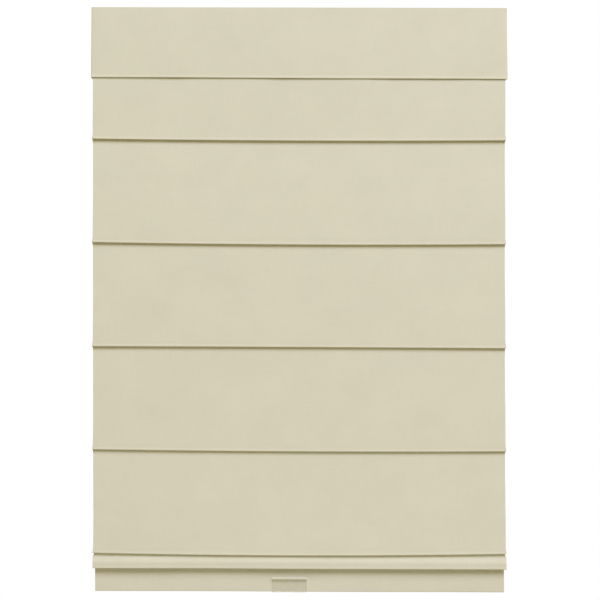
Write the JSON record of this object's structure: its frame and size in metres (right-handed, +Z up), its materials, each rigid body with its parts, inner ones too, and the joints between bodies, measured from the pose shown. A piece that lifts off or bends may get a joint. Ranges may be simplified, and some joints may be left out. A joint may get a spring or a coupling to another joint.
{
  "type": "roman blind",
  "caption": "Cordless flat-fold roman blind with a soft valance, cream woven cloth, ribs in the folds, a spring lift in the headrail and a clear pull tab at the hem.",
  "frame": {"origin": "on the wall plane, midway between the two wall screw holes of the centre bracket", "axes": "+X across the window to the right as seen from the room, +Y into the wall, +Z up; the blind's face looks along -Y"},
  "size_m": [1.168, 0.0655, 1.6493],
  "materials": {
    "cloth": "matte cream plain weave",
    "tape": "hook-and-loop strip",
    "stiffener": "white sheet plastic",
    "steel": "white baked paint",
    "zinc": "bright zinc plate",
    "spring": "blued spring steel",
    "moulding": "off-white moulded plastic",
    "cord": "braided polyester",
    "rod": "white fibreglass rod",
    "bar": "mill finish",
    "clear": "clear moulded plastic"
  },
  "bodies": {
    "headrail_assembly": {"headrail": "steel", "end_cap_left": "moulding", "end_cap_right": "moulding", "bracket_left": "zinc", "bracket_centre": "zinc", "bracket_right": "zinc", "motor_tray": "moulding", "motor_cover": "moulding", "spring_band": "spring", "brake_housing": "moulding", "cloth_tape": "tape", "valance_tape": "tape", "valance_stiffener": "stiffener", "valance_cloth": "cloth", "return_pads": "tape", "shade_cloth": "cloth", "cradle_left": "moulding", "cord_exit_left": "moulding", "lift_cord_left": "cord", "cradle_centre": "moulding", "cord_exit_centre": "moulding", "lift_cord_centre": "cord", "cradle_right": "moulding", "cord_exit_right": "moulding", "lift_cord_right": "cord"},
    "lift_shaft_assembly": {"lift_shaft": "zinc", "output_drum": "moulding", "brake_hub": "moulding", "shaft_collars": "moulding", "spool_left": "moulding", "spool_centre": "moulding", "spool_right": "moulding"},
    "storage_drum": {"storage_drum": "moulding"},
    "bottom_rail": {"bottom_bar": "bar", "bar_cap_left": "moulding", "bar_cap_right": "moulding", "cord_ferrules": "zinc", "pull_tab": "clear"},
    "rib_1": {"rib_1": "rod", "rib_1_guide_left": "moulding", "rib_1_guide_centre": "moulding", "rib_1_guide_right": "moulding"},
    "rib_2": {"rib_2": "rod", "rib_2_guide_left": "moulding", "rib_2_guide_centre": "moulding", "rib_2_guide_right": "moulding"},
    "rib_3": {"rib_3": "rod", "rib_3_guide_left": "moulding", "rib_3_guide_centre": "moulding", "rib_3_guide_right": "moulding"},
    "rib_4": {"rib_4": "rod", "rib_4_guide_left": "moulding", "rib_4_guide_centre": "moulding", "rib_4_guide_right": "moulding"},
    "rib_5": {"rib_5": "rod", "rib_5_guide_left": "moulding", "rib_5_guide_centre": "moulding", "rib_5_guide_right": "moulding"}
  },
  "joints": [
    {"name": "lift", "type": "slide", "parent": "headrail_assembly", "child": "bottom_rail", "axis": [0, 0, 1], "range_m": [0, 1.19], "deforming": ["shade_cloth", "lift_cord_left", "lift_cord_centre", "lift_cord_right"]},
    {"name": "rib_1_lift", "type": "slide", "parent": "headrail_assembly", "child": "rib_1", "axis": [0, 0, 1], "range_m": [0, 0.151]},
    {"name": "rib_2_lift", "type": "slide", "parent": "headrail_assembly", "child": "rib_2", "axis": [0, 0, 1], "range_m": [0, 0.411]},
    {"name": "rib_3_lift", "type": "slide", "parent": "headrail_assembly", "child": "rib_3", "axis": [0, 0, 1], "range_m": [0, 0.671]},
    {"name": "rib_4_lift", "type": "slide", "parent": "headrail_assembly", "child": "rib_4", "axis": [0, 0, 1], "range_m": [0, 0.931]},
    {"name": "rib_5_lift", "type": "slide", "parent": "headrail_assembly", "child": "rib_5", "axis": [0, 0, 1], "range_m": [0, 1.191]},
    {"name": "shaft_turn", "type": "hinge", "parent": "headrail_assembly", "child": "lift_shaft_assembly", "pos_m": [0, -0.045, -0.004], "axis": [1, 0, 0], "range_deg": [0, 9750.28]},
    {"name": "storage_drum_turn", "type": "hinge", "parent": "headrail_assembly", "child": "storage_drum", "pos_m": [0.155, -0.024, -0.004], "axis": [1, 0, 0], "range_deg": [-9263.27, 0]}
  ],
  "couplings": [
    {"joint": "rib_1_lift", "follows": "lift", "ratio": 0.12605},
    {"joint": "rib_2_lift", "follows": "lift", "ratio": 0.34454},
    {"joint": "rib_3_lift", "follows": "lift", "ratio": 0.56303},
    {"joint": "rib_4_lift", "follows": "lift", "ratio": 0.78151},
    {"joint": "rib_5_lift", "follows": "lift", "ratio": 1},
    {"joint": "shaft_turn", "follows": "lift", "rad_per_m": 142.86},
    {"joint": "storage_drum_turn", "follows": "lift", "rad_per_m": -135.71}
  ]
}
